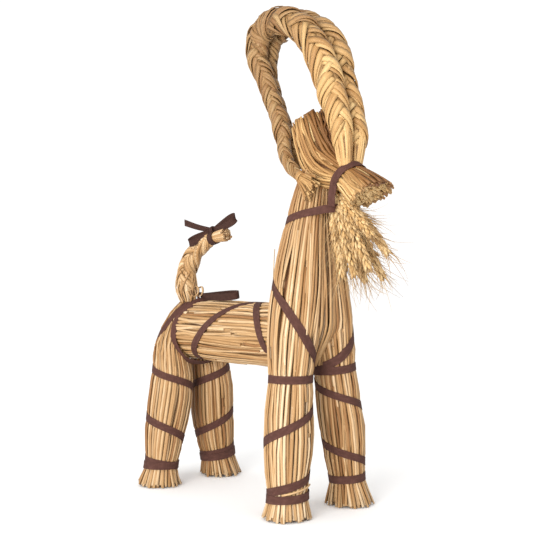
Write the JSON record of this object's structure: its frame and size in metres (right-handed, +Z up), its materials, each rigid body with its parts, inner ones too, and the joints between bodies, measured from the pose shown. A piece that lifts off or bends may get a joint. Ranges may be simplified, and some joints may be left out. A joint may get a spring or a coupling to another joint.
{
  "type": "straw goat ornament",
  "caption": "Standing goat of tied straw bundles, an ornament for the floor or a shelf, with plaited horns looping back, a bowed plaited tail, a beard of wheat ears and tape bindings.",
  "frame": {"origin": "on the floor, under the middle of the goat's length and width", "axes": "+X the way the goat faces, +Y its left side, +Z up"},
  "size_m": [0.4127, 0.164, 0.6093],
  "materials": {
    "straw": "dry satin straw",
    "grain": "dry matt wheat ears",
    "ribbon": "matt woven cotton tape"
  },
  "bodies": {
    "root": {"front_bundle": "straw", "trunk_bundle": "straw", "hind_bundle": "straw", "head_bundle": "straw", "horn_right": "straw", "horn_left": "straw", "tail_braid": "straw", "ribbon_front_leg_right": "ribbon", "ribbon_front_leg_left": "ribbon", "ribbon_hind_leg_right": "ribbon", "ribbon_hind_leg_left": "ribbon", "ribbon_chest": "ribbon", "ribbon_neck": "ribbon", "ribbon_snout": "ribbon", "ribbon_trunk_front": "ribbon", "ribbon_trunk": "ribbon", "bow_tail": "ribbon", "bow_rump": "ribbon", "wheat_ear_1": "grain", "wheat_ear_2": "grain", "wheat_ear_3": "grain", "wheat_ear_4": "grain", "wheat_ear_5": "grain", "wheat_ear_6": "grain", "wheat_ear_7": "grain", "wheat_ear_8": "grain"}
  },
  "joints": []
}
